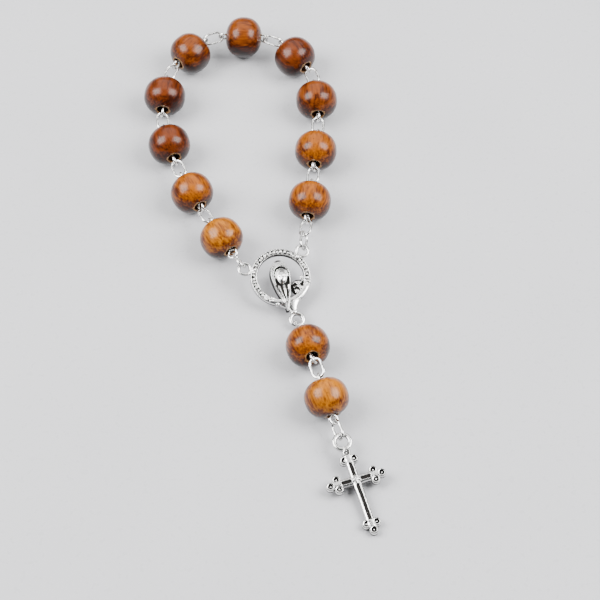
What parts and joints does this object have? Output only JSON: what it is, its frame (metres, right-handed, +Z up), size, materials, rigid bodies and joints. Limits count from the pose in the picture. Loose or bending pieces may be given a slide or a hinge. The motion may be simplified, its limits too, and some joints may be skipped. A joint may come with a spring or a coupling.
{
  "type": "rosary",
  "caption": "Small rosary: a closed loop of turned wooden beads on linked wire pins, with a cast centrepiece and a bead pendant that ends in a cross.",
  "frame": {"origin": "on the table, under the middle of the laid-out rosary's bounding box", "axes": "+Z up from the table, +Y along the loop away from the cross, +X to the right"},
  "size_m": [0.0563, 0.1391, 0.0102],
  "materials": {
    "wood_light": "glossy orange-brown lacquer over turned wood",
    "wood_dark": "glossy dark red-brown lacquer over turned wood",
    "wire": "bright plated round wire",
    "cast_silver": "cast white metal, bright on top and blackened in the hollows"
  },
  "bodies": {
    "centrepiece": {"centrepiece": "cast_silver"},
    "cross": {"cross": "cast_silver"},
    "bead_L1": {"bead_L1": "wood_light"},
    "bead_L2": {"bead_L2": "wood_light"},
    "bead_L3": {"bead_L3": "wood_dark"},
    "bead_L4": {"bead_L4": "wood_dark"},
    "bead_L5": {"bead_L5": "wood_dark"},
    "bead_R1": {"bead_R1": "wood_light"},
    "bead_R2": {"bead_R2": "wood_light"},
    "bead_R3": {"bead_R3": "wood_dark"},
    "bead_R4": {"bead_R4": "wood_dark"},
    "bead_R5": {"bead_R5": "wood_dark"},
    "bead_P1": {"bead_P1": "wood_light"},
    "bead_P2": {"bead_P2": "wood_light"},
    "pin_L1": {"pin_L1": "wire"},
    "pin_L2": {"pin_L2": "wire"},
    "pin_L3": {"pin_L3": "wire"},
    "pin_L4": {"pin_L4": "wire"},
    "pin_L5": {"pin_L5": "wire"},
    "pin_R1": {"pin_R1": "wire"},
    "pin_R2": {"pin_R2": "wire"},
    "pin_R3": {"pin_R3": "wire"},
    "pin_R4": {"pin_R4": "wire"},
    "pin_R5": {"pin_R5": "wire"},
    "pin_P1": {"pin_P1": "wire"},
    "pin_P2": {"pin_P2": "wire"},
    "link_L1": {"link_L1": "wire"},
    "link_L2": {"link_L2": "wire"},
    "link_L3": {"link_L3": "wire"},
    "link_L4": {"link_L4": "wire"},
    "link_L5": {"link_L5": "wire"},
    "link_R1": {"link_R1": "wire"},
    "link_R2": {"link_R2": "wire"},
    "link_R3": {"link_R3": "wire"},
    "link_R4": {"link_R4": "wire"},
    "link_R5": {"link_R5": "wire"},
    "link_P1": {"link_P1": "wire"},
    "link_P2": {"link_P2": "wire"},
    "link_R0": {"link_R0": "wire"},
    "link_top": {"link_top": "wire"},
    "link_cross": {"link_cross": "wire"}
  },
  "joints": [
    {"name": "link_L1_swing", "type": "hinge", "parent": "centrepiece", "child": "link_L1", "pos_m": [-0.00381, -0.00302, 0.00544], "axis": [0.9365, 0.3505, -0.0019], "range_deg": [-18, 30]},
    {"name": "link_R0_swing", "type": "hinge", "parent": "centrepiece", "child": "link_R0", "pos_m": [0.01021, 0.00223, 0.00541], "axis": [0.9365, 0.3505, -0.0019], "range_deg": [-18, 30]},
    {"name": "pin_L1_swing", "type": "hinge", "parent": "link_L1", "child": "pin_L1", "pos_m": [-0.0054, -0.00047, 0.00479], "axis": [-0.8493, -0.5278, 0.0007], "range_deg": [-28, 28]},
    {"name": "pin_R1_swing", "type": "hinge", "parent": "link_R0", "child": "pin_R1", "pos_m": [0.01114, 0.00981, 0.00478], "axis": [-0.8493, -0.5278, 0.0007], "range_deg": [-28, 28]},
    {"name": "link_L2_swing", "type": "hinge", "parent": "pin_L1", "child": "link_L2", "pos_m": [-0.0113, 0.00893, 0.00523], "axis": [0.9043, 0.4269, -0.0014], "range_deg": [-30, 30]},
    {"name": "link_R2_swing", "type": "hinge", "parent": "pin_R1", "child": "link_R2", "pos_m": [0.01242, 0.02012, 0.0052], "axis": [0.9043, 0.4269, -0.0014], "range_deg": [-30, 30]},
    {"name": "pin_L2_swing", "type": "hinge", "parent": "link_L2", "child": "pin_L2", "pos_m": [-0.01345, 0.01297, 0.00482], "axis": [-0.9129, -0.4078, -0.0152], "range_deg": [-30, 30]},
    {"name": "pin_R2_swing", "type": "hinge", "parent": "link_R2", "child": "pin_R2", "pos_m": [0.01282, 0.02471, 0.00526], "axis": [-0.9129, -0.4078, -0.0152], "range_deg": [-30, 30]},
    {"name": "link_L3_swing", "type": "hinge", "parent": "pin_L2", "child": "link_L3", "pos_m": [-0.01819, 0.02223, 0.00515], "axis": [0.9279, 0.3727, -0.0118], "range_deg": [-30, 30]},
    {"name": "link_R3_swing", "type": "hinge", "parent": "pin_R2", "child": "link_R3", "pos_m": [0.01374, 0.03505, 0.00475], "axis": [0.9279, 0.3727, -0.0118], "range_deg": [-30, 30]},
    {"name": "pin_L3_swing", "type": "hinge", "parent": "link_L3", "child": "pin_L3", "pos_m": [-0.01999, 0.02646, 0.00515], "axis": [-0.9319, -0.3627, 0.008], "range_deg": [-30, 30]},
    {"name": "pin_R3_swing", "type": "hinge", "parent": "link_R3", "child": "pin_R3", "pos_m": [0.0139, 0.03965, 0.00486], "axis": [-0.9319, -0.3627, 0.008], "range_deg": [-30, 30]},
    {"name": "link_L4_swing", "type": "hinge", "parent": "pin_L3", "child": "link_L4", "pos_m": [-0.02305, 0.0364, 0.00484], "axis": [0.936, 0.3518, 0.0084], "range_deg": [-30, 30]},
    {"name": "link_R4_swing", "type": "hinge", "parent": "pin_R3", "child": "link_R4", "pos_m": [0.01323, 0.05004, 0.00517], "axis": [0.936, 0.3518, 0.0084], "range_deg": [-30, 30]},
    {"name": "pin_L4_swing", "type": "hinge", "parent": "link_L4", "child": "pin_L4", "pos_m": [-0.02361, 0.04097, 0.00501], "axis": [-0.9349, -0.3549, 0.0007], "range_deg": [-28, 28]},
    {"name": "pin_R4_swing", "type": "hinge", "parent": "link_R4", "child": "pin_R4", "pos_m": [0.01173, 0.05438, 0.00499], "axis": [-0.9349, -0.3549, 0.0007], "range_deg": [-28, 28]},
    {"name": "link_L5_swing", "type": "hinge", "parent": "pin_L4", "child": "link_L5", "pos_m": [-0.02274, 0.05135, 0.005], "axis": [0.929, 0.3701, 0], "range_deg": [-25, 25]},
    {"name": "link_R5_swing", "type": "hinge", "parent": "pin_R4", "child": "link_R5", "pos_m": [0.00503, 0.06242, 0.005], "axis": [0.929, 0.3701, 0], "range_deg": [-25, 25]},
    {"name": "pin_L5_swing", "type": "hinge", "parent": "link_L5", "child": "pin_L5", "pos_m": [-0.02096, 0.05559, 0.005], "axis": [-0.929, -0.3701, 0], "range_deg": [-25, 25]},
    {"name": "pin_R5_swing", "type": "hinge", "parent": "link_R5", "child": "pin_R5", "pos_m": [0.00082, 0.06427, 0.005], "axis": [-0.929, -0.3701, 0], "range_deg": [-25, 25]},
    {"name": "link_R1_roll", "type": "hinge", "parent": "link_R0", "child": "link_R1", "pos_m": [0.01086, 0.00753, 0.00495], "axis": [0.1215, 0.9896, -0.0774], "range_deg": [-8, 8]},
    {"name": "link_top_roll", "type": "hinge", "parent": "pin_L5", "child": "link_top", "pos_m": [-0.01174, 0.06414, 0.005], "axis": [0.929, 0.3701, 0], "range_deg": [-20, 20]},
    {"name": "link_P1_swing", "type": "hinge", "parent": "centrepiece", "child": "link_P1", "pos_m": [0.0092, -0.01697, 0.00135], "axis": [0.7906, 0.4609, 0.4031], "range_deg": [-40, 10]},
    {"name": "pin_P1_swing", "type": "hinge", "parent": "link_P1", "child": "pin_P1", "pos_m": [0.01001, -0.01999, 0.00322], "axis": [0.5706, -0.3156, -0.7582], "range_deg": [-40, 40]},
    {"name": "link_P2_swing", "type": "hinge", "parent": "pin_P1", "child": "link_P2", "pos_m": [0.0127, -0.03002, 0.00717], "axis": [0.4183, 0.2317, -0.8782], "range_deg": [-40, 40]},
    {"name": "pin_P2_swing", "type": "hinge", "parent": "link_P2", "child": "pin_P2", "pos_m": [0.01392, -0.03373, 0.0066], "axis": [-0.8547, -0.2268, -0.467], "range_deg": [-40, 40]},
    {"name": "link_cross_swing", "type": "hinge", "parent": "pin_P2", "child": "link_cross", "pos_m": [0.0172, -0.04382, 0.00334], "axis": [-0.8218, -0.3237, 0.4689], "range_deg": [-40, 40]},
    {"name": "cross_swing", "type": "hinge", "parent": "link_cross", "child": "cross", "pos_m": [0.01855, -0.04749, 0.00323], "axis": [0.456, 0.1197, 0.8819], "range_deg": [-40, 40]},
    {"name": "bead_L1_spin", "type": "hinge", "parent": "pin_L1", "child": "bead_L1", "pos_m": [-0.00858, 0.00461, 0.00501], "axis": [-0.5296, 0.8475, 0.036], "continuous": true},
    {"name": "bead_L2_spin", "type": "hinge", "parent": "pin_L2", "child": "bead_L2", "pos_m": [-0.01574, 0.01747, 0.005], "axis": [-0.4538, 0.8907, 0.027], "continuous": true},
    {"name": "bead_L3_spin", "type": "hinge", "parent": "pin_L3", "child": "bead_L3", "pos_m": [-0.0215, 0.03154, 0.005], "axis": [-0.2923, 0.956, -0.027], "continuous": true},
    {"name": "bead_L4_spin", "type": "hinge", "parent": "pin_L4", "child": "bead_L4", "pos_m": [-0.02309, 0.04615, 0.005], "axis": [0.0872, 0.9962, 0], "continuous": true},
    {"name": "bead_L5_spin", "type": "hinge", "parent": "pin_L5", "child": "bead_L5", "pos_m": [-0.01726, 0.05942, 0.005], "axis": [0.679, 0.7341, 0], "continuous": true},
    {"name": "bead_R1_spin", "type": "hinge", "parent": "pin_R1", "child": "bead_R1", "pos_m": [0.01179, 0.01512, 0.00501], "axis": [0.1218, 0.9919, 0.036], "continuous": true},
    {"name": "bead_R2_spin", "type": "hinge", "parent": "pin_R2", "child": "bead_R2", "pos_m": [0.01326, 0.02978, 0.00501], "axis": [0.0871, 0.9952, -0.045], "continuous": true},
    {"name": "bead_R3_spin", "type": "hinge", "parent": "pin_R3", "child": "bead_R3", "pos_m": [0.0135, 0.04493, 0.005], "axis": [-0.0697, 0.9972, 0.027], "continuous": true},
    {"name": "bead_R4_spin", "type": "hinge", "parent": "pin_R4", "child": "bead_R4", "pos_m": [0.00828, 0.0583, 0.005], "axis": [-0.6428, 0.766, 0], "continuous": true},
    {"name": "bead_R5_spin", "type": "hinge", "parent": "pin_R5", "child": "bead_R5", "pos_m": [-0.0043, 0.06449, 0.005], "axis": [-0.9978, 0.0661, 0], "continuous": true},
    {"name": "bead_P1_spin", "type": "hinge", "parent": "pin_P1", "child": "bead_P1", "pos_m": [0.01128, -0.0247, 0.00504], "axis": [0.2414, -0.901, 0.3604], "continuous": true},
    {"name": "bead_P2_spin", "type": "hinge", "parent": "pin_P2", "child": "bead_P2", "pos_m": [0.01537, -0.03818, 0.00513], "axis": [0.2959, -0.9107, -0.2883], "continuous": true}
  ],
  "couplings": [
    {"joint": "link_R0_swing", "follows": "link_L1_swing", "ratio": 1},
    {"joint": "pin_R1_swing", "follows": "pin_L1_swing", "ratio": 1},
    {"joint": "link_R2_swing", "follows": "link_L2_swing", "ratio": 1},
    {"joint": "pin_R2_swing", "follows": "pin_L2_swing", "ratio": 1},
    {"joint": "link_R3_swing", "follows": "link_L3_swing", "ratio": 1},
    {"joint": "pin_R3_swing", "follows": "pin_L3_swing", "ratio": 1},
    {"joint": "link_R4_swing", "follows": "link_L4_swing", "ratio": 1},
    {"joint": "pin_R4_swing", "follows": "pin_L4_swing", "ratio": 1},
    {"joint": "link_R5_swing", "follows": "link_L5_swing", "ratio": 1},
    {"joint": "pin_R5_swing", "follows": "pin_L5_swing", "ratio": 1}
  ]
}
